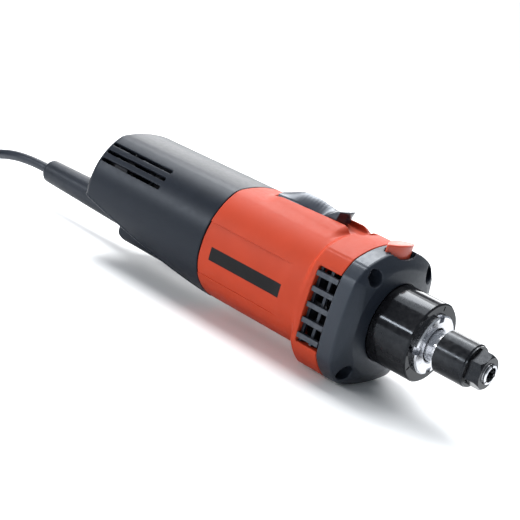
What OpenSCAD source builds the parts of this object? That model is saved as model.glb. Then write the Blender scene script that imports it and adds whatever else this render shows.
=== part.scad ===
// Rotary hobby tool: a straight milling and grinding motor with a 43 mm clamping neck.
// +X is forward along the spindle, +Z is up through the switch, and Z = 0 is the bench that the
// flange stands on. X = 0 is half way between the cord guard's tip and the collet's face.
// Stations along the spindle are measured from the neck's front rim and are negative behind it.

/* [Clamping neck] */
// Diameter of the clamping neck
neck_d = 43; // [42:0.5:43]
// Length of the neck in front of the flange
neck_l = 25; // [24:0.5:26]
// Bore of the collet
collet_bore_d = 8; // [6:1:8]

/* [Housing] */
// Width of the flange across its flats
flange_w = 74.4; // [74:0.2:76]
// Width of the flange across its rounded corners
flange_corner_d = 83; // [82.5:0.5:86]
// Width of the motor housing
housing_w = 74; // [73:0.5:74]
// Wall of the housing and the rear cover
wall = 2.8; // [2.4:0.2:3]

/* [Controls] */
// Forward travel of the switch slider
switch_travel = 5; // [3:0.5:5]
// Downward travel of the spindle lock button
lock_travel = 4; // [3:0.5:4]

/* [Mains cord] */
// Diameter of the mains cord
cord_d = 6.4; // [6:0.2:6.4]
// Mean diameter of the stored coil
coil_d = 70.4; // [68:0.4:72]

/* [Hidden] */
$fn = 96;
eps = 0.1;
fit = 0.05;                                   // radial clearance of a running fit
axis_h = flange_w / 2;                        // the spindle's height above the bench
collet_face = 36;
guard_tip = -291;
rim_x = -(collet_face + guard_tip) / 2;       // the neck's front rim in the part's own frame

neck_r = neck_d / 2;
flange_front = -neck_l + 0.7;
neck_back = -neck_l + 1.1;                    // the clamping face begins in front of a shallow groove
flange_back = -40;
block_back = -57.5;
seam = -129;
cover_back = -223;
crown_r = 90;
crown_top = 33.8;
belly_r = 40;
belly_z = 7;
bore_r = 31.4;
stator_r = 28;
frame_top = 37;
flange_top = 36.7;
top_bow_r = 58.5;
recess_floor = 34;

window_x = [-54, flange_back];
window_h = 41;
rib_pitch = 8.4;
top_screw = [24.8, 24.2];
low_screw = [23.2, -27.4];

lock_x = -34.5;
lock_w = 24.4;
lock_depth = 8.5;
lock_base = 33.4;
guard_z = -16.5;
pod_back = -211;
dial = [-214.5, 0, 12];
dial_r = 10.5;

coil_w = 3 * cord_d;
coil_h = 4 * cord_d;
coil_at = [-302, -18];
plug_at = [-392, 21];

// The route of the cord from the guard's tip to the coil, in the part's own frame
cord_route = [
    [-163.5, 0, 20.7], [-170, 0, 20.7], [-178, 0, 20.4], [-187, 0, 19.6], [-196, 0.3, 18.2],
    [-205, 1, 16], [-214, 2.4, 13.2], [-223, 4.6, 10.2], [-232, 7.6, 7.4], [-241, 11, 5.2],
    [-250, 14.6, 3.8], [-259, 18, 3.3], [-268, 21, 3.2], [-277, 23, 3.2], [-286, 23.6, 3.2],
    [-295, 23.6, 3.2]
];
// The route of the cord from the coil's top turn to the plug
tail_route = [
    [-300, 23.6, 22.4], [-310, 23.6, 22.4], [-318, 23.6, 21.8], [-326, 23.4, 20], [-334, 23, 17],
    [-342, 22.4, 13.6], [-350, 21.8, 10.8], [-358, 21.2, 9.3], [-366, 21, 9], [-370, 21, 9]
];

// ---- placing and shaping -------------------------------------------------------------

// Children stand at station x on the spindle axis.
module at(x = 0) { translate([rim_x + x, 0, axis_h]) children(); }

// A flat outline, drawn in Y and Z, runs forward over length l from station x.
module run(x, l) { at(x) rotate([90, 0, 90]) linear_extrude(l) children(); }

// A flat outline, drawn in X and Z from the rim, is w wide across Y.
module across(w, y = 0) {
    at(0) translate([0, y + w / 2, 0]) rotate([90, 0, 0]) linear_extrude(w) children();
}

module rod(x, l, r) { at(x) rotate([0, 90, 0]) cylinder(h = l, r = r); }

module tube(x, l, outer, inner) {
    difference() {
        rod(x, l, outer);
        rod(x - eps, l + 2 * eps, inner);
    }
}

// A profile of [radius, station] points is turned about the spindle axis.
module turned(profile) { at(0) rotate([0, 90, 0]) rotate_extrude() polygon(profile); }

// A box given by its ranges: stations along X, and Y and Z from the spindle axis.
module box(x, y, z) {
    at(x[0]) translate([0, y[0], z[0]]) cube([x[1] - x[0], y[1] - y[0], z[1] - z[0]]);
}

module rounded_rect(x, y, r) {
    translate([x[0] + r, y[0]]) square([x[1] - x[0] - 2 * r, y[1] - y[0]]);
    translate([x[0], y[0] + r]) square([x[1] - x[0], y[1] - y[0] - 2 * r]);
    for (cx = [x[0] + r, x[1] - r], cy = [y[0] + r, y[1] - r]) translate([cx, cy]) circle(r);
}

module mirrored() {
    children();
    mirror([0, 1, 0]) children();
}

module four_corners() {
    for (s = [-1, 1], p = [top_screw, low_screw]) at(0) translate([0, s * p[0], p[1]]) children();
}

// Steps of a sweep: the path's direction at point i, and a ring of n points around point c.
function unit(v) = v / norm(v);
function heading(p, i) = unit(p[min(i + 1, len(p) - 1)] - p[max(i - 1, 0)]);
function ring_at(c, t, r, n) =
    let (side = unit(cross(t, [0, 0, 1])), up = cross(side, t))
    [for (k = [0 : n - 1]) c + r * cos(360 * k / n) * side + r * sin(360 * k / n) * up];

// A closed tube of radius r is swept along a path.
module sweep(path, r, n = 8) {
    last = len(path) - 1;
    points = [for (i = [0 : last]) each ring_at(path[i], heading(path, i), r, n)];
    quads = [for (i = [0 : last - 1], k = [0 : n - 1])
        [i * n + k, i * n + (k + 1) % n, (i + 1) * n + (k + 1) % n, (i + 1) * n + k]];
    sides = [for (q = quads) each [[q[0], q[2], q[1]], [q[0], q[3], q[2]]]];
    ends = [[for (k = [0 : n - 1]) k], [for (k = [n - 1 : -1 : 0]) last * n + k]];
    polyhedron(points, concat(sides, ends));
}

// A spring stands on Z = 0: its wire's centre climbs from wire_r to h - wire_r.
module coil_spring(r, wire_r, h, turns, steps = 14) {
    sweep([for (i = [0 : turns * steps])
        [r * cos(360 * i / steps), r * sin(360 * i / steps),
         wire_r + (h - 2 * wire_r) * i / (turns * steps)]], wire_r, 6);
}

// ---- outlines ------------------------------------------------------------------------

// The motor housing's section: round sides, a slightly crowned top and a flatter belly.
module body_section(grow = 0) {
    intersection() {
        circle(housing_w / 2 + grow);
        translate([0, crown_top - crown_r]) circle(crown_r + grow);
        translate([0, belly_z]) circle(belly_r + grow);
    }
}

// The flange's section: a rounder top, three bowed sides and round corners.
module flange_section() {
    bow_r = 120;
    offset = bow_r - flange_w / 2;
    intersection() {
        circle(flange_corner_d / 2);
        translate([offset, 0]) circle(bow_r, $fn = 360);
        translate([-offset, 0]) circle(bow_r, $fn = 360);
        translate([0, offset]) circle(bow_r, $fn = 360);
        translate([0, flange_top - top_bow_r]) circle(top_bow_r, $fn = 240);
    }
}

module lock_outline(grow = 0) {
    lens_r = (lock_depth * lock_depth + lock_w * lock_w) / 4 / lock_depth;
    intersection() {
        translate([lock_depth / 2 - lens_r, 0]) circle(lens_r + grow);
        translate([lens_r - lock_depth / 2, 0]) circle(lens_r + grow);
    }
}

// ---- casing --------------------------------------------------------------------------

module motor_housing() {
    color([0.80, 0.24, 0.16]) difference() {
        union() {
            run(seam, block_back - seam + eps) body_section();
            run(block_back, flange_back - block_back) flange_section();
            at(0) translate([0, 0, 25]) linear_extrude(frame_top - 25)
                rounded_rect([-118, -50], [-11.5, 11.5], 6);
        }
        run(seam - eps, -62 - seam + eps) body_section(-wall);
        rod(-63, 24, bore_r);
        // the switch recess, open at the front, and the slot for the slider's foot
        at(0) translate([0, 0, recess_floor]) linear_extrude(10)
            rounded_rect([-114.5, -52], [-7.8, 7.8], 4);
        box([-104, -89 + switch_travel], [-3.2, 3.2], [20, 40]);
        // cooling air leaves through a window on each side
        for (s = [-1, 1]) box([window_x[0], window_x[1] + 1], s > 0 ? [25, 45] : [-45, -25],
            [-window_h / 2, window_h / 2]);
        four_corners() translate([-54, 0, 0]) rotate([0, 90, 0]) cylinder(h = 20, r = 2);
    }
}

module front_flange() {
    dome = [[0, -46], [46, -46], [46, -34], [41, -30.5], [36, -27.8], [30, -25.6],
            [22.6, flange_front], [0, flange_front]];
    color([0.13, 0.14, 0.16]) difference() {
        union() {
            intersection() {
                run(flange_back, 20) flange_section();
                turned(dome);
            }
            rod(flange_back - 3.5, 3.6, bore_r - 0.1);
        }
        // seat of the clamping neck, and room for the lock collar behind it
        rod(-28.5, 10, neck_r - 0.5 + fit);
        rod(-31, 2.5 + eps, 27 + fit);
        rod(-44, 13 + eps, 22);
        // counterbored screw holes
        four_corners() translate([-45, 0, 0]) rotate([0, 90, 0]) cylinder(h = 30, r = 2.2);
        four_corners() translate([-36.5, 0, 0]) rotate([0, 90, 0]) cylinder(h = 20, r = 4.4);
        // pocket, spring seat and guide of the spindle lock
        at(lock_x) translate([0, 0, lock_base - lock_travel - 0.2]) linear_extrude(15)
            lock_outline(0.3);
        at(lock_x) translate([0, 0, 25.5]) cylinder(h = 10, r = 4.1);
        at(lock_x) translate([0, 0, 18]) cylinder(h = 10, r = 2 + fit);
    }
}

module flange_screws() {
    color([0.55, 0.56, 0.58]) four_corners() rotate([0, 90, 0]) difference() {
        union() {
            translate([0, 0, -53]) cylinder(h = 17, r = 1.95);
            translate([0, 0, -36.5]) cylinder(h = 3.2, r = 3.6);
        }
        translate([0, 0, -35]) cylinder(h = 4, r = 1.6, $fn = 6);
    }
}

module clamping_neck() {
    color([0.05, 0.05, 0.06]) difference() {
        turned([[13, -31], [27, -31], [27, -28.5], [neck_r - 0.5, -28.5], [neck_r - 0.5, neck_back],
                [neck_r, neck_back], [neck_r, -0.8], [neck_r - 0.8, 0], [13, 0]]);
        rod(-32, 15, 17.5);
        rod(-13, 14, 16);
        // three face-spanner marks in the front rim
        for (a = [-4, 92, 131]) at(0) rotate([a, 0, 0]) translate([-1, -0.5, 17.6]) cube([2, 1, 2.4]);
    }
}

module grille() {
    color([0.10, 0.10, 0.12]) {
        for (z = [-2 * rib_pitch : rib_pitch : 2 * rib_pitch])
            box([-53.8, -40.2], [-36.2, -33.4], [z - 1.3, z + 1.3]);
        for (x = [-53.8, -47])
            box([x, x + 1.6], [-33.5, -31.8], [-window_h / 2 + 0.4, window_h / 2 - 0.4]);
    }
}

module vent_grille_left() { mirror([0, 1, 0]) grille(); }
module vent_grille_right() { grille(); }

module air_baffle() { color([0.16, 0.16, 0.18]) tube(-61.8, 2.6, bore_r - 0.05, 22); }

// The rear cover above the slanted cut that clears the cord guard.
module cover_body(grow = 0) {
    intersection() {
        run(cover_back - grow, seam - cover_back + grow) body_section(grow);
        turned([[0, cover_back - grow], [30, cover_back - grow], [35.5 + grow, -217],
                [38, -205], [38, seam + eps], [0, seam + eps]]);
        across(90) polygon([[cover_back - 9, -6.3 - grow], [-137, -31 - grow], [-137, -40], [seam + 1, -40],
                            [seam + 1, 40], [cover_back - 9, 40]]);
    }
}

module pod(grow = 0) {
    intersection() {
        run(pod_back - grow, 65 + grow) rounded_rect([-13 - grow, 13 + grow], [-30 - grow, 0], 6);
        across(90) rounded_rect([pod_back - grow, -140], [-30 - grow, 10], 6);
    }
}

module rear_cover() {
    color([0.12, 0.13, 0.15]) difference() {
        union() {
            cover_body();
            pod();
        }
        difference() {
            union() {
                cover_body(-wall);
                pod(-wall);
            }
            // posts for the two screws
            for (s = [-1, 1]) at(-221) translate([0, s * 24, 12]) rotate([0, 90, 0])
                cylinder(h = 9, r = 4.5);
        }
        run(seam - 1, 4) body_section(-wall);
        // three long air slots on each side
        for (s = [-1, 1], a = [45, 54, 63]) at(0) rotate([s * a, 0, 0])
            translate([-219.6, -1.1, 28]) cube([48.1, 2.2, 12]);
        for (s = [-1, 1]) at(-224) translate([0, s * 24, 12]) rotate([0, 90, 0]) {
            cylinder(h = 20, r = 2);
            cylinder(h = 4, r = 3.6);
        }
        rod_at_guard(-230, 26, 9);
        box([-230, -215], [-4, 4], [dial[2] - dial_r, dial[2] + dial_r]);
    }
}

module rod_at_guard(x, l, r) { translate([0, 0, guard_z]) rod(x, l, r); }

module rear_cover_screws() {
    color([0.55, 0.56, 0.58]) for (s = [-1, 1]) at(-220) translate([0, s * 24, 12]) rotate([0, 90, 0])
        difference() {
            union() {
                translate([0, 0, -2.8]) cylinder(h = 2.8, r = 3.4);
                cylinder(h = 18, r = 1.95);
            }
            translate([0, 0, -3]) cylinder(h = 2, r = 1.6, $fn = 6);
        }
}

// The inner frame that carries the switch, the electronics and the cord clamp
module chassis() {
    color([0.22, 0.22, 0.24]) difference() {
        union() {
            box([-205.5, -160.2], [-22, 22], [-10, -8]);
            for (s = [-1, 1]) box([-212, -202], s > 0 ? [20, 28] : [-28, -20], [-8.3, 16]);
            for (s = [-1, 1]) box([-164, -160.2], s > 0 ? [15, 22] : [-22, -15], [-10, 3]);
        }
        for (s = [-1, 1]) at(-213) translate([0, s * 24, 12]) rotate([0, 90, 0]) cylinder(h = 20, r = 2);
    }
}

// ---- spindle and armature ------------------------------------------------------------

module spindle() {
    color([0.80, 0.81, 0.83]) difference() {
        turned([[0, -162], [4, -162], [4, -150], [6, -150], [6, -44], [9.5, -44], [9.5, -28.2],
                [7.5, -28.2], [7.5, -2.5], [8.6, -2.5], [8.6, 4.4], [7.2, 4.4], [7.2, 6], [8, 6], [8, 8],
                [8.9, 9.2], [8.9, 25], [0, 25]]);
        turned([[0, -22], [4.2, -20], [4.2, 8], [5.2, 8], [5.2, 13.8], [6.4, 25.2], [0, 25.2]]);
        for (a = [0, 90]) at(lock_x) rotate([a, 0, 0]) translate([0, 0, -12]) cylinder(h = 24, r = 2.4);
    }
}

module armature_core() {
    color([0.55, 0.55, 0.57]) difference() {
        tube(-118, 46, 18.6, 6);
        for (a = [0 : 30 : 330]) at(0) rotate([a, 0, 0]) translate([-119, -1.3, 11])
            cube([48, 2.6, 6.4]);
    }
}

module armature_windings() {
    color([0.72, 0.38, 0.16]) {
        tube(-124, 6, 16.8, 8);
        tube(-72, 6, 16.8, 8);
        for (a = [0 : 30 : 330]) at(0) rotate([a, 0, 0]) translate([-118.5, -1.1, 11.2])
            cube([47, 2.2, 5.4]);
    }
}

module commutator() {
    color([0.78, 0.45, 0.25]) difference() {
        tube(-140, 13, 12, 6);
        for (a = [0 : 15 : 345]) at(0) rotate([a, 0, 0]) translate([-141, -0.2, 11.2])
            cube([15, 0.4, 2]);
    }
}

module fan() {
    color([0.20, 0.20, 0.22]) {
        tube(-58, 2, 28.5, 6);
        tube(-56.1, 10, 9, 6);
        for (a = [0 : 30 : 330]) at(-56.1) rotate([a, 0, 0]) translate([0, -0.8, 12])
            cube([9, 1.6, 16.2]);
    }
}

module bearing_spacer() { color([0.75, 0.76, 0.78]) tube(-17, 4, 9.6, 7.5); }

module bearing_nut() {
    color([0.82, 0.83, 0.85]) difference() {
        turned([[9.2, -4], [15.95, -4], [15.95, 1.7], [15.2, 2.5], [9.8, 2.5], [9.2, 1.9]]);
        for (a = [0 : 90 : 270]) at(0) rotate([a + 8, 0, 0]) translate([0.2, -2, 12.6]) cube([3, 4, 4]);
    }
}

// A ball bearing in three pieces, standing from station x over width w.
module bearing_race_outer(x, w, outer, ball_r, pitch_r) {
    color([0.70, 0.71, 0.73]) difference() {
        tube(x, w, outer, pitch_r + ball_r * 0.45);
        ball_groove(x + w / 2, ball_r, pitch_r);
    }
}

module bearing_race_inner(x, w, inner, ball_r, pitch_r) {
    color([0.70, 0.71, 0.73]) difference() {
        tube(x, w, pitch_r - ball_r * 0.45, inner);
        ball_groove(x + w / 2, ball_r, pitch_r);
    }
}

module ball_groove(x, ball_r, pitch_r) {
    at(x) rotate([0, 90, 0]) rotate_extrude() translate([pitch_r, 0]) circle(ball_r + fit);
}

module bearing_balls(x, w, count, ball_r, pitch_r) {
    color([0.85, 0.86, 0.88]) for (i = [0 : count - 1]) at(x + w / 2) rotate([i * 360 / count, 0, 0])
        translate([0, 0, pitch_r]) sphere(ball_r, $fn = 24);
}

module front_bearing_outer() { bearing_race_outer(-13, 9, 16, 2.4, 11.75); }
module front_bearing_balls() { bearing_balls(-13, 9, 9, 2.4, 11.75); }
module front_bearing_inner() { bearing_race_inner(-13, 9, 7.5, 2.4, 11.75); }
module main_bearing_outer() { bearing_race_outer(-28, 11, 17.5, 2.9, 12.5); }
module main_bearing_balls() { bearing_balls(-28, 11, 8, 2.9, 12.5); }
module main_bearing_inner() { bearing_race_inner(-28, 11, 7.5, 2.9, 12.5); }
module rear_bearing_outer() { bearing_race_outer(-159, 7, 11, 1.9, 7.5); }
module rear_bearing_balls() { bearing_balls(-159, 7, 7, 1.9, 7.5); }
module rear_bearing_inner() { bearing_race_inner(-159, 7, 4, 1.9, 7.5); }
module bearing_bush() { color([0.15, 0.15, 0.15]) tube(-160, 8.5, 12.5, 11); }

module collet() {
    bore = collet_bore_d / 2;
    color([0.86, 0.87, 0.88]) difference() {
        turned([[bore, 9], [5.1, 9], [5.1, 14], [6.15, 25.1], [6.8, 26], [6.8, 31], [5.3, 34.6],
                [5.3, collet_face - 0.4], [4.9, collet_face], [bore, collet_face]]);
        for (a = [20 : 120 : 260]) at(14) rotate([a, 0, 0]) translate([0, -0.5, 0]) cube([30, 1, 12]);
    }
}

module collet_nut() {
    color([0.05, 0.05, 0.06]) difference() {
        union() {
            turned([[9, 8.6], [11, 8.6], [11.5, 9.1], [11.5, 25.6], [10.9, 26.2], [10.9, 26.9],
                    [9, 26.9]]);
            intersection() {
                at(26.8) rotate([0, 90, 0]) cylinder(h = 7.7, r = 17 / sqrt(3), $fn = 6);
                turned([[0, 26], [9.8, 26], [9.8, 33], [8.4, 34.5], [0, 34.5]]);
            }
        }
        turned([[0, 8], [9, 8], [9, 26.2], [6.95, 26.2], [6.95, 31.2], [5.5, 34.6], [0, 34.6]]);
    }
}

// ---- stator and brushes --------------------------------------------------------------

// A wedge in Y and Z: half angle a about the upward direction.
module wedge(a) { polygon([[0, 0], [60 * sin(a), 60 * cos(a)], [0, 80], [-60 * sin(a), 60 * cos(a)]]); }

module stator_core() {
    color([0.48, 0.49, 0.52]) difference() {
        tube(-118, 46, stator_r, 19.4);
        for (s = [0, 180]) difference() {
            run(-119, 48) rotate(s + 90) intersection() {
                difference() {
                    circle(24.4);
                    circle(10);
                }
                wedge(42);
            }
        }
    }
}

// A field coil: two bars between the poles and an end turn at each end.
module field_coil() {
    color([0.70, 0.36, 0.15]) {
        run(-126, 62) intersection() {
            difference() {
                circle(24);
                circle(19.8);
            }
            difference() {
                wedge(86);
                wedge(50);
            }
        }
        for (x = [-126, -70]) run(x, 6) intersection() {
            difference() {
                circle(24);
                circle(19.8);
            }
            wedge(86);
        }
    }
}

module upper_field_coil() { field_coil(); }
module lower_field_coil() { translate([0, 0, 2 * axis_h]) mirror([0, 0, 1]) field_coil(); }

module brush_carrier() {
    color([0.18, 0.18, 0.20]) difference() {
        union() {
            tube(-148, 3, 26, 14);
            tube(-160, 15, 15.5, 12.5);
            for (a = [0, 180]) at(0) rotate([a, 0, 0]) translate([-146, -12, 22.5])
                cube([16, 24, 3]);
            for (s = [-1, 1]) box([-146, -127], s > 0 ? [14, 28.5] : [-28.5, -14], [-8, -5.6]);
        }
        tube(-161, 18, 13.4, 0);
        for (z = [-22, 22]) at(-150) translate([0, 0, z]) rotate([0, 90, 0]) cylinder(h = 30, r = 2);
        for (y = [-19, 19]) at(-150) translate([0, y, 8.5]) rotate([0, 90, 0]) cylinder(h = 8, r = 1.8);
    }
}

module carrier_screws() {
    color([0.55, 0.56, 0.58]) for (z = [-22, 22]) at(0) translate([-150.8, 0, z]) rotate([0, 90, 0]) {
        cylinder(h = 2.8, r = 3.4);
        cylinder(h = 24, r = 1.95);
    }
}

module brush_holders() {
    color([0.80, 0.65, 0.30]) for (s = [-1, 1]) difference() {
        box([-139.5, -128.5], s > 0 ? [14, 29] : [-29, -14], [-5.5, 5.5]);
        box([-138.2, -129.8], s > 0 ? [13, 28] : [-28, -13], [-4.2, 4.2]);
    }
}

module carbon_brushes() {
    color([0.18, 0.18, 0.18]) for (s = [-1, 1]) difference() {
        box([-138, -130], s > 0 ? [10, 22] : [-22, -10], [-4, 4]);
        rod(-141, 15, 12.02);
    }
}

module brush_springs() {
    color([0.70, 0.71, 0.73]) for (s = [-1, 1]) at(-134) translate([0, s * 22, 0])
        rotate([s * -90, 0, 0]) coil_spring(2.6, 0.35, 6, 4, 10);
}

// ---- controls ------------------------------------------------------------------------

// The slider's half-round back, and the square raised lip at its front.
module switch_slider() {
    foot = recess_floor + 0.2;
    color([0.12, 0.13, 0.15]) {
        intersection() {
            across(14) difference() {
                intersection() {
                    translate([-94, 2.5]) circle(40);
                    translate([-112, foot]) square([42, 20]);
                }
                translate([-82, 70]) circle(29.5);
            }
            run(-112, 36) {
                translate([0, 34.9]) circle(7.7);
                translate([-7, foot]) square([14, 2.2]);
            }
        }
        across(14) difference() {
            translate([-76.2, foot]) square([6.2, 42.3 - foot]);
            translate([-82, 54]) circle(13.5);
        }
        box([-102.5, -91], [-2.5, 2.5], [30.4, foot + eps]);
    }
}

module switch_rod() {
    color([0.20, 0.20, 0.22]) {
        box([-168, -91], [-3.5, 3.5], [28.6, 30.4]);
        box([-172, -168], [-3.5, 3.5], [24, 30.4]);
    }
}

module switch_unit() {
    color([0.20, 0.21, 0.24]) {
        box([-198, -164], [-8, 8], [6, 20]);
        box([-183, -179], [-2.5, 2.5], [20, 24]);
    }
}

module lock_button() {
    color([0.85, 0.28, 0.20]) at(lock_x) difference() {
        translate([0, 0, lock_base]) linear_extrude(6.4) lock_outline();
        translate([0, 0, lock_base - 1]) cylinder(h = 4.6, r = 2);
    }
}

module lock_pin() {
    color([0.75, 0.76, 0.78]) at(lock_x) translate([0, 0, 11]) cylinder(h = 26, r = 2);
}

module lock_spring() {
    color([0.70, 0.71, 0.73]) at(lock_x) translate([0, 0, 25.5]) coil_spring(3.1, 0.4, 7.9, 5, 12);
}

module speed_controller() {
    color([0.10, 0.16, 0.12]) box([-202, -166], [-14, 14], [-7.9, 4]);
}

module dial_potentiometer() {
    color([0.25, 0.26, 0.30]) {
        at(dial[0]) translate([0, -14, dial[2]]) rotate([-90, 0, 0]) cylinder(h = 9.5, r = 5.4);
        at(dial[0]) translate([0, -5, dial[2]]) rotate([-90, 0, 0]) cylinder(h = 9.5, r = 2);
    }
}

module speed_dial() {
    color([0.16, 0.16, 0.18]) at(dial[0]) translate([0, -3, dial[2]]) rotate([-90, 0, 0]) difference() {
        cylinder(h = 6, r = dial_r - 0.6);
        translate([0, 0, -1]) cylinder(h = 8, r = 2 + fit);
        for (a = [0 : 15 : 345]) rotate(a) translate([dial_r - 0.6, 0, -1])
            cylinder(h = 8, r = 0.6, $fn = 16);
    }
}

module suppressor() { color([0.75, 0.70, 0.30]) box([-190, -172], [15, 22], [-7.9, 6]); }

module terminal_block() {
    color([0.85, 0.84, 0.80]) difference() {
        box([-182, -170], [-10, 10], [-21, -10.1]);
        for (y = [-5, 5]) at(-176) translate([0, y, -21.5]) cylinder(h = 4, r = 2.2);
    }
}

module cable_clamp() {
    color([0.20, 0.20, 0.22]) difference() {
        box([-202, -192], [-10, 10], [-21.5, -14.5]);
        rod_at_guard(-205, 20, cord_d / 2);
        for (s = [-1, 1]) at(-197) translate([0, s * 7, -30]) cylinder(h = 30, r = 1.6);
    }
}

module clamp_screws() {
    color([0.55, 0.56, 0.58]) for (s = [-1, 1]) at(-197) translate([0, s * 7, -23.7]) {
        cylinder(h = 2.2, r = 2.8);
        cylinder(h = 13.6, r = 1.55);
    }
}

module inner_wires() {
    // from the speed controller to the brush holders
    color([0.15, 0.25, 0.60]) for (s = [-1, 1]) at(0)
        sweep([[-165.9, s * 9, 2], [-163.9, s * 9.2, 2.4], [-160.8, s * 15, 7.6], [-158, s * 17.6, 9],
               [-154, s * 18.6, 9], [-149, s * 19, 8.5], [-144, s * 19, 8.4], [-141, s * 19.6, 7.4],
               [-138, s * 20, 6.8]], 1, 8);
    // from the terminal block to the switch unit
    color([0.45, 0.28, 0.15]) for (s = [-1, 1]) at(0)
        sweep([[-182.1, s * 5, -15], [-184.2, s * 5.2, -15], [-187, s * 9, -13.2],
               [-189.4, s * 17, -12.6], [-190, s * 24, -11.6], [-190, s * 26, -8], [-190, s * 26, 0],
               [-190, s * 23, 9], [-190, s * 15, 14.6], [-190, s * 8.2, 15]], 1, 8);
}

// ---- mains cord ----------------------------------------------------------------------

module inner_cord() { color([0.08, 0.08, 0.09]) rod_at_guard(guard_tip, 109, cord_d / 2); }

module cord_guard() {
    color([0.10, 0.10, 0.12]) translate([0, 0, guard_z]) difference() {
        turned([[0, guard_tip], [4.4, guard_tip], [6.6, guard_tip + 1.6], [7.2, guard_tip + 3.5],
                [8.9, -226], [8.9, -206], [0, -206]]);
        rod(guard_tip - 1, 90, cord_d / 2 + fit);
    }
}

module power_cord() { color([0.08, 0.08, 0.09]) sweep(cord_route, cord_d / 2, 10); }
module cord_tail() { color([0.08, 0.08, 0.09]) sweep(tail_route, cord_d / 2, 10); }

module cord_coil() {
    color([0.08, 0.08, 0.09]) translate([coil_at[0], coil_at[1], 0]) rotate_extrude()
        translate([(coil_d - coil_w) / 2, 0]) square([coil_w, coil_h]);
}

module coil_tie() {
    inner = (coil_d - coil_w) / 2;
    color([0.15, 0.15, 0.17]) translate([coil_at[0] - 5, coil_at[1] - inner - coil_w - 1.4, 0])
        difference() {
            cube([10, coil_w + 3, coil_h + 1.4]);
            translate([-1, 1.4, -1]) cube([12, coil_w + 0.2, coil_h + 1]);
        }
}

module plug_body() {
    color([0.08, 0.08, 0.09]) translate([plug_at[0], plug_at[1], 9]) {
        rotate([90, 0, 90]) linear_extrude(10) rounded_rect([-17, 17], [-9, 9], 8);
        translate([9.9, 0, 0]) rotate([90, 0, 90]) linear_extrude(12) rounded_rect([-6, 6], [-6, 6], 4);
    }
}

module plug_pins() {
    color([0.85, 0.85, 0.86]) for (s = [-1, 1]) translate([plug_at[0] - 19, plug_at[1] + s * 9.5, 9])
        rotate([0, 90, 0]) cylinder(h = 19, r = 2.4);
}

motor_housing();
front_flange();
flange_screws();
clamping_neck();
vent_grille_left();
vent_grille_right();
air_baffle();
rear_cover();
rear_cover_screws();
chassis();
spindle();
armature_core();
armature_windings();
commutator();
fan();
bearing_spacer();
bearing_nut();
front_bearing_outer();
front_bearing_balls();
front_bearing_inner();
main_bearing_outer();
main_bearing_balls();
main_bearing_inner();
rear_bearing_outer();
rear_bearing_balls();
rear_bearing_inner();
bearing_bush();
collet();
collet_nut();
stator_core();
upper_field_coil();
lower_field_coil();
brush_carrier();
carrier_screws();
brush_holders();
carbon_brushes();
brush_springs();
switch_slider();
switch_rod();
switch_unit();
lock_button();
lock_pin();
lock_spring();
speed_controller();
dial_potentiometer();
speed_dial();
suppressor();
terminal_block();
cable_clamp();
clamp_screws();
inner_wires();
inner_cord();
cord_guard();
power_cord();
cord_coil();
coil_tie();
cord_tail();
plug_body();
plug_pins();
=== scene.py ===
"""Straight hobby milling motor: the visual model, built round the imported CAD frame.

Moulded casings are distance fields, meshed by net(): a field is negative inside the material, and
its numbers are in mm from the clamping neck's front rim (x, forward) and from the spindle's axis.
"""
import itertools
import math

import bpy
import numpy as np
from mathutils import Matrix, Vector


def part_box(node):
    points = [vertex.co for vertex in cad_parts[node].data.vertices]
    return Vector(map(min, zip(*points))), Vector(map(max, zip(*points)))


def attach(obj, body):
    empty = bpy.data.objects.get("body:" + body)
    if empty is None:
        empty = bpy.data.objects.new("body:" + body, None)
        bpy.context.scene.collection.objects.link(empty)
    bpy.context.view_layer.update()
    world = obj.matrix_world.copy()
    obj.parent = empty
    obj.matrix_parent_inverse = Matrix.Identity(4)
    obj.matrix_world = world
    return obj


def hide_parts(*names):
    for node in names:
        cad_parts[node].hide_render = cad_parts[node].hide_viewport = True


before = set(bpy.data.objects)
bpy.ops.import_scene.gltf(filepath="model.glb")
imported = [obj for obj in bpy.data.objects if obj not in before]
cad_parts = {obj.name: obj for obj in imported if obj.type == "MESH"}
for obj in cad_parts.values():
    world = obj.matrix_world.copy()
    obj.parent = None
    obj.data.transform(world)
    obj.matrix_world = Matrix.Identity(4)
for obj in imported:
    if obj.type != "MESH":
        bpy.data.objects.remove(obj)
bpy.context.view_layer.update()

MM = 0.001
neck_low, neck_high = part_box("clamping_neck")
AXIS = 0.5 * (neck_low.z + neck_high.z) / MM      # the spindle's height above the bench
RIM = neck_high.x / MM                            # the neck's front rim along the row's X

HALF = 37.0                                       # half the housing's width
SEAM = -129.0                                     # rear cover meets motor housing
FLANGE_BACK = -40.0
COVER_BACK = -223.0
POD_BACK = -211.0
WALL = 2.8
BUTTON_HALF = 12.2                                # half the lock button's length
SLIDER_FRONT = -70.0
LOCK_X = -34.5                                    # the lock button's and pin's middle
GUARD_Z = -16.5                                   # the cord guard's axis
TOP_SCREW = (24.8, 24.2)                          # the flange screws, from the spindle's axis
LOW_SCREW = (23.2, -27.4)
CORD = 6.4
COIL = (-302.0, -18.0)                            # the stored coil's middle on the bench
COIL_RINGS = (41.6, 35.2, 28.8)


# ---- distance fields ------------------------------------------------------------------

def both(a, b, r=0.0):
    """Where a and b overlap; their edge is rounded to radius r."""
    if not r:
        return np.maximum(a, b)
    return np.minimum(np.maximum(a, b), -r) + np.hypot(np.maximum(a + r, 0), np.maximum(b + r, 0))


def either(a, b, r=0.0):
    """a and b joined, with a fillet of radius r."""
    return -both(-a, -b, r)


def without(a, b, r=0.0):
    """a with b cut away."""
    return both(a, -b, r)


def between(v, low, high):
    return np.abs(v - (low + high) / 2) - (high - low) / 2


def disc(u, v, cu, cv, r):
    return np.hypot(u - cu, v - cv) - r


def rect(u, v, us, vs, r):
    """A rectangle over the ranges us and vs, with corners of radius r."""
    return both(between(u, *us), between(v, *vs), r)


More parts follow.
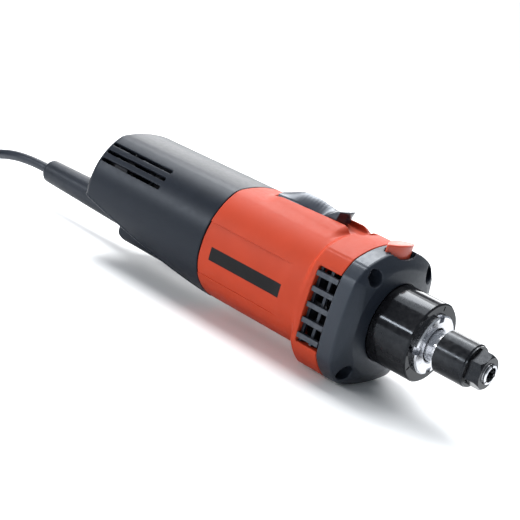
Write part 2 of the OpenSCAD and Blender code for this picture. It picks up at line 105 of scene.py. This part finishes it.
def ramp(v, low, high):
    """0 below low, 1 above high, and a smooth step between."""
    t = np.clip((v - low) / (high - low), 0, 1)
    return t * t * (3 - 2 * t)


# ---- from fields to meshes ------------------------------------------------------------

def stations(*spans):
    """Grid stations over (low, high, step) spans that follow each other."""
    runs = [np.linspace(lo, hi, max(2, round((hi - lo) / step) + 1)) for lo, hi, step in spans]
    return np.unique(np.concatenate(runs).round(4))


def net(field, axes):
    """Points and outward quads of the surface where field is 0, one point to each mixed grid cell."""
    xs, ys, zs = axes
    values = np.broadcast_to(field(xs[:, None, None], ys[None, :, None], zs[None, None, :]),
                             (len(xs), len(ys), len(zs)))
    inside = values < 0
    corners = list(itertools.product((0, 1), repeat=3))
    nx, ny, nz = (len(a) - 1 for a in axes)
    count = sum(inside[i:nx + i, j:ny + j, k:nz + k].astype(np.uint8) for i, j, k in corners)
    mixed = (count > 0) & (count < 8)
    index = np.full(mixed.shape, -1)
    index[mixed] = np.arange(mixed.sum())
    cells = np.argwhere(mixed)
    total, hits = np.zeros((len(cells), 3)), np.zeros(len(cells))
    for axis in range(3):
        for shift in corners:
            if shift[axis]:
                continue
            a = cells + shift
            b = a.copy()
            b[:, axis] += 1
            va, vb = values[tuple(a.T)], values[tuple(b.T)]
            cross = (va < 0) != (vb < 0)
            t = np.where(cross, va / np.where(va == vb, 1, va - vb), 0)[:, None]
            pa = np.stack([axes[k][a[:, k]] for k in range(3)], 1)
            pb = np.stack([axes[k][b[:, k]] for k in range(3)], 1)
            total += np.where(cross[:, None], pa + (pb - pa) * t, 0)
            hits += cross
    quads = []
    for axis in range(3):
        u, v = (axis + 1) % 3, (axis + 2) % 3
        low, high = [slice(None)] * 3, [slice(None)] * 3
        low[axis], high[axis] = slice(0, -1), slice(1, None)
        low[u] = high[u] = low[v] = high[v] = slice(1, -1)
        a, b = inside[tuple(low)], inside[tuple(high)]
        edges = np.argwhere(a != b)
        outward = a[a != b]
        edges[:, u] += 1
        edges[:, v] += 1
        ring = []
        for du, dv in ((-1, -1), (0, -1), (0, 0), (-1, 0)):
            cell = edges.copy()
            cell[:, u] += du
            cell[:, v] += dv
            ring.append(index[tuple(cell.T)])
        ring = np.stack(ring, 1)
        ring[~outward] = ring[~outward][:, ::-1]
        quads.append(ring)
    return total / hits[:, None], np.concatenate(quads)


def slope(field, p, h=0.02):
    """The field's gradient at the points p."""
    out = np.empty_like(p)
    for k in range(3):
        a, b = p.copy(), p.copy()
        a[:, k] += h
        b[:, k] -= h
        out[:, k] = (field(*a.T) - field(*b.T)) / (2 * h)
    return out


def settle(field, p, steps=3, reach=0.35):
    """The points moved onto the surface itself."""
    for _ in range(steps):
        g = slope(field, p)
        move = -(field(*p.T) / np.maximum((g * g).sum(1), 0.05))[:, None] * g
        length = np.linalg.norm(move, axis=1)[:, None]
        p = p + move * np.minimum(1, reach / np.maximum(length, 1e-9))
    return p


def in_row(p):
    """Points in mm from the rim and the axis, as metres in the row frame."""
    return (np.asarray(p) + (RIM, 0, AXIS)) * MM


def sculpt(name, field, axes, material, node, body="body"):
    """A moulded piece that stands for a CAD node."""
    points, quads = net(field, axes)
    points = settle(field, points)
    normals = slope(field, points)
    normals /= np.maximum(np.linalg.norm(normals, axis=1), 1e-9)[:, None]
    mesh = bpy.data.meshes.new(name)
    mesh.from_pydata(in_row(points).tolist(), [], quads.tolist())
    mesh.polygons.foreach_set("use_smooth", np.ones(len(quads), bool))
    mesh.normals_split_custom_set_from_vertices(normals.tolist())
    mesh.materials.append(material)
    piece = bpy.data.objects.new(name, mesh)
    bpy.context.scene.collection.objects.link(piece)
    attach(piece, body)
    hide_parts(node)
    return piece


# ---- materials ------------------------------------------------------------------------

def feed(tree, socket, value):
    """Puts a value, or another node's output, into a socket."""
    if isinstance(value, bpy.types.NodeSocket):
        tree.links.new(value, socket)
    else:
        socket.default_value = value


def link(tree, kind, **inputs):
    """A new node with its inputs fed."""
    node = tree.nodes.new(kind)
    for key, value in inputs.items():
        feed(tree, node.inputs[key], value)
    return node


def compute(tree, operation, *values):
    """The result of a math operation on values or other nodes' outputs."""
    node = tree.nodes.new("ShaderNodeMath")
    node.operation = operation
    for socket, value in zip(node.inputs, values):
        feed(tree, socket, value)
    return node.outputs[0]


def spread(tree, value, low, high, start=0.35, stop=0.65):
    node = link(tree, "ShaderNodeMapRange", Value=value)
    for key, number in (("From Min", start), ("From Max", stop), ("To Min", low), ("To Max", high)):
        node.inputs[key].default_value = number
    return node.outputs["Result"]


def blend(tree, share, a, b):
    """Colour a, going to b as share goes to 1."""
    node = tree.nodes.new("ShaderNodeMix")
    node.data_type = "RGBA"
    for socket, value in ((node.inputs[0], share), (node.inputs[6], a), (node.inputs[7], b)):
        feed(tree, socket, value)
    return node.outputs[2]


def tint(color, by):
    return [min(1, c * by) for c in color] + [1]


def finish(slot, color, rough, grain=0.0, grain_mm=0.5, stretch=(1, 1, 1), metallic=0.0,
           specular=0.5, cloud=0.05, shade=0.12, edge_wear_and_sheen=0.0):
    """A material with clouded colour and roughness, a fine bump, and convex edges painted lighter:
    partly wear, partly a painted edge highlight.
    """
    material = bpy.data.materials.new(slot)
    material["slot"] = slot
    material.use_nodes = True
    tree = material.node_tree
    shader = tree.nodes["Principled BSDF"]
    where = tree.nodes.new("ShaderNodeTexCoord").outputs["Object"]
    slow = link(tree, "ShaderNodeTexNoise", Vector=where, Scale=55.0, Detail=4.0).outputs["Fac"]
    smear = link(tree, "ShaderNodeTexNoise", Vector=where, Scale=400.0, Detail=3.0).outputs["Fac"]
    paint = blend(tree, spread(tree, slow, 0, 1), tint(color, 1 - shade), tint(color, 1 + shade))
    # Convex edges are painted lighter here: partly wear, partly a painted highlight along edges such
    # as the rear cover's slanted cut.
    if edge_wear_and_sheen:
        edge = tree.nodes.new("ShaderNodeNewGeometry").outputs["Pointiness"]
        rub_and_sheen = compute(tree, "MULTIPLY", spread(tree, edge, 0, edge_wear_and_sheen, 0.52, 0.62),
                      spread(tree, smear, 0.4, 1.0))
        paint = blend(tree, rub_and_sheen, paint, tint([c * 2 + 0.06 for c in color], 1))
    tree.links.new(paint, shader.inputs["Base Color"])
    tree.links.new(spread(tree, smear, rough - cloud, rough + cloud), shader.inputs["Roughness"])
    shader.inputs["Metallic"].default_value = metallic
    shader.inputs["Specular IOR Level"].default_value = specular
    if not metallic and max(color) < 0.05:
        shader.inputs["Specular Tint"].default_value = (0.80, 0.89, 1, 1)
    if grain:
        turned = link(tree, "ShaderNodeMapping", Vector=where, Scale=stretch).outputs[0]
        fine = link(tree, "ShaderNodeTexNoise", Vector=turned, Scale=1000 / grain_mm, Detail=2.0)
        bump = link(tree, "ShaderNodeBump", Strength=1.0, Distance=grain * MM,
                    Height=fine.outputs["Fac"])
        tree.links.new(bump.outputs[0], shader.inputs["Normal"])
    return material


LATHE = (1, 0.03, 0.03)                           # turning marks run round the spindle


def housing_red():
    """Orange-red moulded plastic with a plain printed stripe on each side."""
    m = finish("housing_red", (0.36, 0.036, 0.012), 0.50, 0.010, 0.45, specular=0.13, shade=0.04,
               cloud=0.03, edge_wear_and_sheen=0.10)
    tree = m.node_tree
    base = tree.nodes["Principled BSDF"].inputs["Base Color"]
    paint = base.links[0].from_socket
    where = tree.nodes.new("ShaderNodeTexCoord").outputs["Object"]
    axes = link(tree, "ShaderNodeSeparateXYZ", Vector=where).outputs
    shares = []
    for axis, middle, half in (("X", RIM - 96.5, 25), ("Z", AXIS - 1.3, 3.7)):
        off = compute(tree, "ABSOLUTE", compute(tree, "SUBTRACT", axes[axis], middle * MM))
        shares.append(spread(tree, off, 1, 0, (half - 0.1) * MM, (half + 0.1) * MM))
    stripe = compute(tree, "MULTIPLY", *shares)
    feed(tree, base, blend(tree, stripe, paint, (0.004, 0.004, 0.005, 1)))
    return m


def cover_black():
    # The lighter edge paint on this cover is partly wear, partly a painted highlight along the slanted
    # underside's edge.
    return finish("cover_black", (0.006, 0.008, 0.013), 0.38, 0.012, 0.5, specular=0.17, cloud=0.02,
                  shade=0.05, edge_wear_and_sheen=0.25)


def flange_black():
    return finish("flange_black", (0.009, 0.012, 0.019), 0.40, 0.035, 0.6, specular=0.42, cloud=0.03,
                  shade=0.06, edge_wear_and_sheen=0.35)


def neck_black():
    return finish("neck_black", (0.002, 0.002, 0.003), 0.11, 0.0004, 0.5, LATHE, specular=0.2,
                  cloud=0.03, edge_wear_and_sheen=0.3)


def nut_black():
    return finish("nut_black", (0.003, 0.003, 0.004), 0.20, 0.0006, 0.4, LATHE, specular=0.25,
                  cloud=0.05, edge_wear_and_sheen=0.5)


def bright_steel():
    return finish("bright_steel", (0.62, 0.63, 0.66), 0.22, 0.004, 0.25, LATHE, metallic=1.0,
                  cloud=0.08)


def screw_steel():
    return finish("screw_steel", (0.35, 0.36, 0.38), 0.32, 0.004, 0.4, metallic=1.0)


def bearing_steel():
    return finish("bearing_steel", (0.70, 0.71, 0.73), 0.12, 0.001, 0.4, LATHE, metallic=1.0)


def spring_steel():
    return finish("spring_steel", (0.55, 0.56, 0.58), 0.28, 0.002, 0.3, metallic=1.0)


def lamination():
    return finish("lamination", (0.30, 0.31, 0.33), 0.42, 0.03, 0.5, (1, 0.02, 0.02), metallic=1.0)


def copper():
    return finish("copper", (0.72, 0.33, 0.14), 0.30, 0.05, 0.6, (0.05, 1, 1), metallic=1.0)


def brass():
    return finish("brass", (0.78, 0.60, 0.26), 0.28, 0.003, 0.4, metallic=1.0)


def carbon():
    return finish("carbon", (0.05, 0.05, 0.055), 0.6, 0.01, 0.3)


def grille_black():
    return finish("grille_black", (0.014, 0.017, 0.024), 0.36, 0.012, 0.4, specular=0.3, edge_wear_and_sheen=0.6)


def switch_black():
    return finish("switch_black", (0.012, 0.014, 0.022), 0.30, 0.002, 0.4, specular=0.55, cloud=0.02,
                  edge_wear_and_sheen=0.2)


def lock_orange():
    return finish("lock_orange", (0.50, 0.050, 0.016), 0.38, 0.006, 0.4, shade=0.05, edge_wear_and_sheen=0.08)


def inner_plastic():
    return finish("inner_plastic", (0.03, 0.03, 0.034), 0.5, 0.02, 0.5)


def controller_potting():
    return finish("controller_potting", (0.05, 0.10, 0.07), 0.35, 0.03, 2.0)


def suppressor_yellow():
    return finish("suppressor_yellow", (0.72, 0.60, 0.15), 0.35, 0.01, 0.6)


def terminal_white():
    return finish("terminal_white", (0.80, 0.79, 0.74), 0.4, 0.01, 0.5)


def wire_insulation():
    return finish("wire_insulation", (0.015, 0.015, 0.018), 0.4, 0.004, 0.5)


def bush_rubber():
    return finish("bush_rubber", (0.03, 0.03, 0.03), 0.6, 0.01, 0.4)


def cord_rubber():
    return finish("cord_rubber", (0.008, 0.010, 0.016), 0.38, 0.006, 0.4, specular=0.3)


def guard_rubber():
    return finish("guard_rubber", (0.009, 0.011, 0.016), 0.42, 0.010, 0.4, specular=0.2, edge_wear_and_sheen=0.1)


def plug_black():
    return finish("plug_black", (0.02, 0.02, 0.024), 0.42, 0.01, 0.4, edge_wear_and_sheen=0.2)


def pin_nickel():
    return finish("pin_nickel", (0.75, 0.74, 0.72), 0.15, 0.001, 0.3, metallic=1.0)


def tie_black():
    return finish("tie_black", (0.03, 0.03, 0.035), 0.8, 0.25, 0.9)


# ---- camera and cord ------------------------------------------------------------------

def camera():
    """The photograph's view: from the front right, a little above, with the horizon tilted."""
    azimuth, elevation, roll = (math.radians(v) for v in (35.86, 15.03, 17.47))
    aim, distance = Vector((0.0496, -0.0518, 0.0508)), 0.6457
    back = Vector((math.sin(azimuth) * math.cos(elevation), -math.cos(azimuth) * math.cos(elevation),
                   math.sin(elevation)))
    level = Vector((math.cos(azimuth), math.sin(azimuth), 0))
    upright = back.cross(level)
    right = math.cos(roll) * level + math.sin(roll) * upright
    up = math.cos(roll) * upright - math.sin(roll) * level
    data = bpy.data.cameras.new("camera")
    data.lens, data.sensor_width = 90, 36
    eye = bpy.data.objects.new("camera", data)
    facing = Matrix((right, up, back)).transposed().to_4x4()
    eye.matrix_world = Matrix.Translation(aim + back * distance) @ facing
    bpy.context.scene.collection.objects.link(eye)
    bpy.context.scene.camera = eye


ROUTE = [
    (-163.5, 0, 20.7), (-170, 0, 20.7), (-178, 0, 20.4), (-187, 0, 19.6), (-196, 0.3, 18.2),
    (-205, 1, 16), (-214, 2.4, 13.2), (-223, 4.6, 10.2), (-232, 7.6, 7.4), (-241, 11, 5.2),
    (-250, 14.6, 3.8), (-259, 18, 3.3), (-268, 21, 3.2), (-277, 23, 3.2), (-286, 23.6, 3.2),
    (-295, 23.6, 3.2),
]
TAIL = [
    (-310, 23.6, 22.4), (-318, 23.6, 21.8), (-326, 23.4, 20), (-334, 23, 17),
    (-342, 22.4, 13.6), (-350, 21.8, 10.8), (-358, 21.2, 9.3), (-366, 21, 9), (-370, 21, 9),
]


def coil_points(steps=40):
    """The stored turns: in and out over three rings, four layers high, from the bottom to the top."""
    rings = [r for layer in range(4) for r in (COIL_RINGS if layer % 2 == 0 else COIL_RINGS[::-1])]
    turns = [(r, CORD * (0.5 + i // 3)) for i, r in enumerate(rings)]
    points = []
    for i, (r, z) in enumerate(turns):
        next_r, next_z = turns[min(i + 1, len(turns) - 1)]
        outward = 1 if r > COIL_RINGS[1] else -1
        for k in range(steps):
            s = float(ramp(k / steps, 0.88, 1.0))
            bulge = 2.3 * outward * math.sin(math.pi * s) if next_z != z else 0
            radius = r + (next_r - r) * s + bulge
            angle = math.pi / 2 + 2 * math.pi * k / steps
            points.append((COIL[0] + radius * math.cos(angle), COIL[1] + radius * math.sin(angle),
                           z + (next_z - z) * s))
    r, z = turns[-1]
    return points + [(COIL[0], COIL[1] + r, z)]


def smooth(points, steps=4):
    """A Catmull-Rom curve through the points."""
    p = [Vector(q) for q in points]
    p = [2 * p[0] - p[1]] + p + [2 * p[-1] - p[-2]]
    out = []
    for a, b, c, d in zip(p, p[1:], p[2:], p[3:]):
        for k in range(steps):
            t = k / steps
            out.append(0.5 * (2 * b + (c - a) * t + (2 * a - 5 * b + 4 * c - d) * t * t
                              + (3 * b - a - 3 * c + d) * t ** 3))
    return out + [p[-2]]


def power_cord(material):
    """The mains cord: out of the guard, down to the bench, round the stored coil and into the plug."""
    line = smooth(ROUTE + coil_points()[:1])[:-1] + [Vector(q) for q in coil_points()[:-1]]
    line += smooth(coil_points()[-1:] + TAIL)
    line = [q * MM for q in line]
    curve = bpy.data.curves.new("power_cord_line", "CURVE")
    curve.dimensions = "3D"
    curve.bevel_depth = CORD / 2 * MM
    curve.bevel_resolution = 4
    curve.use_fill_caps = True
    spline = curve.splines.new("POLY")
    spline.points.add(len(line) - 1)
    for point, q in zip(spline.points, line):
        point.co = (*q, 1)
    spline.use_smooth = True
    curve.materials.append(material)
    piece = bpy.data.objects.new("power_cord_run", curve)
    bpy.context.scene.collection.objects.link(piece)
    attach(piece, "body")
    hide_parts("power_cord", "cord_coil", "cord_tail")


# ---- sections -------------------------------------------------------------------------

def barrel(y, z, grow=0.0):
    """The housing's section: round sides, a crowned top and a flatter belly."""
    top = disc(y, z, 0, 33.8 - 90, 90 + grow)
    belly = disc(y, z, 0, 7, 40 + grow)
    return both(both(disc(y, z, 0, 0, HALF + grow), top, 1.0), belly, 1.5)


def block(y, z):
    """The flange's section: a rounder top, three bowed sides, round corners, and a shallow step
    along each edge of the top."""
    sides = disc(y, z, 0, 36.7 - 58.5, 58.5)
    for cy, cz in ((82.8, 0), (-82.8, 0), (0, 82.8)):
        sides = both(sides, disc(y, z, cy, cz, 120), 1.0)
    step = 0.35 * ramp(np.abs(y), 28.5, 29.7) * ramp(z, 18, 24)
    return both(sides, disc(y, z, 0, 0, 41.4), 0.6) + step


def lens(x, y, grow=0.0):
    """The lock button's outline: two bows whose tips are cut square."""
    r, offset = 20.5, 20.5 - 4.25
    bows = both(disc(x, y, LOCK_X + offset, 0, r + grow), disc(x, y, LOCK_X - offset, 0, r + grow))
    return both(bows, np.abs(y) - BUTTON_HALF - grow, 0.6)


def flange_holes(y, z, r):
    """The flange's four screws, as holes of radius r."""
    return either(disc(np.abs(y), z, *TOP_SCREW, r), disc(np.abs(y), z, *LOW_SCREW, r))


# ---- casing ---------------------------------------------------------------------------

def motor_housing(x, y, z):
    rise = ramp(x, -61.8, -56.6) ** 1.5
    skin = barrel(y, z) * (1 - rise) + block(y, z) * rise
    tail, nose = np.maximum((-105.6 - x) / 17, 0), np.maximum((x + 65) / 5.5, 0)
    hump_r = 27.3 - 0.03 * np.maximum(-70 - x, 0) - 7 * tail ** 2 - 4 * nose ** 2
    skin = either(skin, np.hypot(y, z - 11.4) - hump_r, 1.6)
    # the side panels lie a little deeper, and fade out towards the front
    panel = ramp(z, -15.2, -14.9) * (1 - ramp(z, 13.9, 14.2)) * (1 - ramp(x, -77, -69))
    skin = skin + 0.55 * panel * ramp(np.abs(y), 18, 22)
    solid = both(skin, between(x, SEAM + 0.12, FLANGE_BACK - 0.12), 0.5)
    hollow = either(both(barrel(y, z, -WALL), between(x, -131, -63)),
                    both(np.hypot(y, z) - 31.4, between(x, -64, -38)))
    solid = without(solid, hollow, 0.3)
    # switch recess and the slot under it
    floor = 34 + 2.9 * ramp(x, -57, -52)
    recess = both(rect(x, y, (-114.5, -50), (-7.8, 7.8), 4), floor - z, 0.8)
    slot = both(rect(x, y, (-104, -84), (-3.2, 3.2), 1), 20 - z)
    solid = without(without(solid, recess, 0.7), slot, 0.3)
    window = both(rect(x, z, (-54, -35), (-20.5, 20.5), 0.8), 25 - np.abs(y))
    solid = without(solid, window, 0.35)
    return without(solid, both(flange_holes(y, z, 2), -54 - x))


def cover_outer(x, y, z, grow=0.0):
    """The rear cover above its slanted underside, joined with the pod below."""
    skin = both(barrel(y, z, grow - 0.011 * (SEAM - x)), COVER_BACK - grow - x, 4.0)
    under = (-7.1 - 0.261 * (x + 220) - grow - z) / 1.0335
    skin = both(skin, under, 0.7) - 0.3 * (1 - ramp(np.abs(under + 0.8), 0.3, 0.8))
    pod = both(rect(y, z, (-13 - grow, 13 + grow), (-30 - grow, 4), 6),
               rect(x, z, (POD_BACK - grow, -140), (-30 - grow, 10), 6), 2.0)
    return either(skin, pod, 1.0)


def rear_cover(x, y, z):
    solid = both(cover_outer(x, y, z), x - SEAM + 0.12, 0.5)
    posts = both(disc(np.abs(y), z, 24, 12, 4.5), x + 212)
    hollow = without(cover_outer(x, y, z, -WALL), posts)
    solid = without(solid, hollow)
    for angle in (45, 54, 63):
        ny, nz = math.sin(math.radians(angle)), math.cos(math.radians(angle))
        across = np.abs(y) * nz - z * ny
        deep = 28 - (np.abs(y) * ny + z * nz)
        solid = without(solid, both(rect(x, across, (-219.6, -171.5), (-1.1, 1.1), 1.0), deep), 0.25)
    screws = either(disc(np.abs(y), z, 24, 12, 2), both(disc(np.abs(y), z, 24, 12, 3.6), x + 220))
    solid = without(solid, both(screws, x + 204), 0.2)
    solid = without(solid, both(disc(y, z, 0, GUARD_Z, 9.0), x + 204), 0.3)
    return without(solid, both(rect(y, z, (-4, 4), (1.5, 22.5), 1), x + 215), 0.3)


def front_flange(x, y, z):
    r = np.hypot(y, z)
    front = x - np.interp(r, (0, 22.6, 30, 37, 46), (-24.3, -24.3, -25.6, -27.8, -30.5))
    bevel = (x + 30.8 + 0.8 * block(y, z)) / 1.28
    solid = both(both(block(y, z), FLANGE_BACK + 0.12 - x, 0.5), both(front, bevel, 0.8), 0.7)
    solid = either(solid, both(r - 31.3, between(x, -43.5, -39)))
    bore = both(r - 21.55, -29 - x)
    bore = either(bore, both(r - 27.05, between(x, -31, -28.4)))
    bore = either(bore, both(r - 22, between(x, -44, -30.9)))
    solid = without(solid, bore, 0.25)
    solid = without(solid, both(flange_holes(y, z, 4.4), -36.5 - x), 0.35)
    solid = without(solid, flange_holes(y, z, 2.2))
    pocket = both(lens(x, y, 0.35), 27.4 - z)
    scallop = both(lens(x, y, 2.2), 32.8 - z + 3 * np.maximum(-31.5 - x, 0))
    pin_hole = disc(x, y, LOCK_X, 0, 2.05) + np.maximum(18 - z, 0)
    return without(without(solid, either(pocket, scallop), 0.3), pin_hole)


def switch_slider(x, y, z):
    """A finger slider: a roof-shaped back that sinks to a saddle, and a raised front lip."""
    middle = 37.6 + 4.9 * ramp(x, -116, -97) - 1.8 * ramp(x, -92, -76) + 1.6 * ramp(x, -77, -69.5)
    edge = 36.4 - 0.9 * ramp(x, -100, -84) + 6.8 * ramp(x, -82, -70.5)
    ribs = 0.02 * np.cos(x * 2 * math.pi / 2.2) * ramp(x, -103, -99) * (1 - ramp(x, -82, -77))
    roof = (np.hypot(y, 3) - 3) / (math.hypot(7, 3) - 3)
    top = middle - (middle - edge) * roof + ribs * (1 - ramp(np.abs(y), 4.6, 6))
    body = both((z - top) * 0.75, between(y, -7, 7), 0.7)
    nose = SLIDER_FRONT - 0.03 * y * y + 0.9 * ramp(z, 38, 42.3)
    body = both(body, rect(x, z, (-112, nose), (34.2, 60), 2.5), 0.4)
    foot = both(rect(x, y, (-102.5, -91), (-2.5, 2.5), 0.6), between(z, 30.4, 36))
    return either(body, foot)


def lock_button(x, y, z):
    cap = both(lens(x, y), both(z - 39.8 + 0.004 * y * y, 31.6 - z), 0.8)
    spring_bore = both(disc(x, y, LOCK_X, 0, 4), z - 33.5)
    pin_bore = both(disc(x, y, LOCK_X, 0, 2.05), z - 37.05)
    return without(cap, either(spring_bore, pin_bore))


def cord_guard(x, y, z):
    """The tapered rubber sleeve round the cord, held in the pod's rear wall."""
    r = np.hypot(y, z - GUARD_Z)
    sleeve = both(r - np.interp(x, (-291, -226, -210), (7.2, 8.9, 8.9)), between(x, -291, -206), 3.0)
    return without(sleeve, r - 3.25, 0.6)


def plug_body(x, y, z):
    """A moulded two-pin plug, in the same mm as the rest; it tapers back to the cord."""
    px, pz = x + RIM + 392, z + AXIS - 9
    py = y - 21
    slim = 1 - 0.12 * ramp(px, 2, 10)
    head = both(both(np.abs(py) - 17 * slim, np.abs(pz) - 8.9, 5.0), between(px, 0, 13), 1.6)
    grips = 0.5 * np.clip(np.cos(px * 2 * math.pi / 2.6), 0, 1) * ramp(np.abs(py), 10, 13)
    head = head + grips * ramp(px, 2, 3) * (1 - ramp(px, 10, 11))
    sleeve = both(np.hypot(py, pz) - (6.4 - 0.14 * px) - 0.35 * np.cos(px * 2 * math.pi / 2.4),
                  between(px, 5, 21.9), 0.6)
    return either(head, sleeve, 2.0)


# ---- stage ----------------------------------------------------------------------------

def softbox(name, towards, distance, size, watts):
    """An area light that shines on the tool from a direction."""
    data = bpy.data.lights.new(name, "AREA")
    data.shape, data.size, data.size_y = "RECTANGLE", size[0], size[1]
    data.energy = watts
    lamp = bpy.data.objects.new(name, data)
    aim = Vector((0.02, 0, AXIS * MM))
    towards = Vector(towards).normalized()
    lamp.location = aim + towards * distance
    lamp.rotation_euler = towards.to_track_quat("Z", "Y").to_euler()
    bpy.context.scene.collection.objects.link(lamp)


def studio():
    """A white room, one very large soft light above, and three softboxes for the long highlights."""
    world = bpy.data.worlds.new("studio")
    world.use_nodes = True
    world.node_tree.nodes["Background"].inputs["Color"].default_value = (0.86, 0.93, 1, 1)
    world.node_tree.nodes["Background"].inputs["Strength"].default_value = 0.40
    bpy.context.scene.world = world
    data = bpy.data.lights.new("ceiling", "SUN")
    data.energy, data.angle, data.specular_factor = 2.9, math.radians(60), 0.35
    lamp = bpy.data.objects.new("ceiling", data)
    lamp.rotation_euler = Vector((-0.25, 0.30, 0.92)).to_track_quat("Z", "Y").to_euler()
    bpy.context.scene.collection.objects.link(lamp)
    softbox("overhead", (-0.56, 0.20, 0.80), 1.1, (0.9, 0.45), 15)
    softbox("left_strip", (-0.56, -0.76, 0.31), 1.2, (0.9, 0.08), 9)
    softbox("behind", (-0.566, 0.783, 0.30), 1.5, (1.6, 0.4), 11)
    bpy.context.scene.view_settings.view_transform = "Standard"


def floor():
    rim = [(60 * math.cos(a), 60 * math.sin(a), 0) for a in np.linspace(0, 2 * math.pi, 96, False)]
    mesh = bpy.data.meshes.new("floor")
    mesh.from_pydata(rim, [], [list(range(96))])
    material = finish("floor_white", (0.86, 0.87, 0.88), 0.6, shade=0.01)
    mesh.materials.append(material)
    plane = bpy.data.objects.new("floor", mesh)
    bpy.context.scene.collection.objects.link(plane)


# ---- the whole ------------------------------------------------------------------------

def dress(nodes, material, edge=0.0):
    """CAD nodes keep their shape, and get a material and softened edges of a width in mm."""
    for name in nodes:
        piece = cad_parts[name]
        for holder in piece.material_slots:
            holder.material = material
        if edge:
            soften = piece.modifiers.new("edges", "BEVEL")
            soften.width, soften.segments = edge * MM, 2
            soften.limit_method, soften.angle_limit = "ANGLE", math.radians(35)
            soften.harden_normals = True


camera()
rubber = cord_rubber()
plug = sculpt("plug_moulding", plug_body,
              (stations((-520.5, -497, 0.6)), stations((3, 39, 0.7)), stations((-38, -18.5, 0.7))),
              plug_black(), "plug_body")
power_cord(rubber)

red, black, cast = housing_red(), cover_black(), flange_black()
fine = 0.62
sculpt("housing_shell", motor_housing,
       (stations((-129.6, -121, fine), (-121, -66, 1.1), (-66, -39.4, 0.5)),
        stations((-44, -9, 0.7), (-9, -6, 0.4), (-6, 6, 1), (6, 9, 0.4), (9, 44, 0.7)),
        stations((-44, -15.6, 0.8), (-15.6, -14.5, 0.22), (-14.5, 13.5, 0.8), (13.5, 14.6, 0.22),
                 (14.6, 41, fine))), red, "motor_housing")
sculpt("cover_shell", rear_cover,
       (stations((-227, -212, fine), (-212, -174, 1.2), (-174, -168, 0.5), (-168, -132, 1.5),
                 (-132, -128.6, 0.4)),
        stations((-38, 38, 0.66)), stations((-34, 0, 0.75), (0, 35, fine))), black, "rear_cover")
sculpt("flange_casting", front_flange,
       (stations((-44, -23.5, 0.5)), stations((-44, 44, 0.62)), stations((-44, 38, 0.62))),
       cast, "front_flange")
sculpt("slider_moulding", switch_slider,
       (stations((-113, -69, 0.35)), stations((-8, 8, 0.4)), stations((29.5, 47.5, 0.4))),
       switch_black(), "switch_slider", "power_switch")
sculpt("guard_moulding", cord_guard,
       (stations((-291.8, -280, 0.6), (-280, -212, 2), (-212, -202, 0.6)), stations((-10, 10, 0.6)),
        stations((-26.5, -6.5, 0.6))), guard_rubber(), "cord_guard")
sculpt("lock_moulding", lock_button,
       (stations((-39.6, -29.4, 0.35)), stations((-13, 13, 0.4)), stations((31.0, 40.6, 0.35))),
       lock_orange(), "lock_button", "spindle_lock")

steel, screws, bearing = bright_steel(), screw_steel(), bearing_steel()
springs, laminated, winding, inner = spring_steel(), lamination(), copper(), inner_plastic()
dress(["clamping_neck"], neck_black(), 0.25)
dress(["collet_nut"], nut_black(), 0.25)
dress(["collet", "spindle", "bearing_nut"], steel, 0.15)
dress(["bearing_spacer", "lock_pin"], steel)
dress(["vent_grille_left", "vent_grille_right"], grille_black(), 0.3)
dress(["speed_dial"], bpy.data.materials["switch_black"], 0.2)
dress(["flange_screws", "rear_cover_screws", "carrier_screws", "clamp_screws"], screws, 0.15)
dress(["front_bearing_outer", "front_bearing_balls", "front_bearing_inner", "main_bearing_outer",
       "main_bearing_balls", "main_bearing_inner", "rear_bearing_outer", "rear_bearing_balls",
       "rear_bearing_inner"], bearing)
dress(["air_baffle", "chassis", "fan", "brush_carrier", "switch_rod", "switch_unit",
       "dial_potentiometer", "cable_clamp"], inner)
dress(["armature_core", "stator_core"], laminated)
dress(["armature_windings", "commutator", "upper_field_coil", "lower_field_coil"], winding)
dress(["brush_holders"], brass())
dress(["carbon_brushes"], carbon())
dress(["brush_springs", "lock_spring"], springs)
dress(["speed_controller"], controller_potting())
dress(["suppressor"], suppressor_yellow())
dress(["terminal_block"], terminal_white())
dress(["inner_wires"], wire_insulation())
dress(["bearing_bush"], bush_rubber())
dress(["inner_cord"], rubber)
dress(["plug_pins"], pin_nickel(), 0.6)
dress(["coil_tie"], tie_black(), 0.4)

studio()
floor()
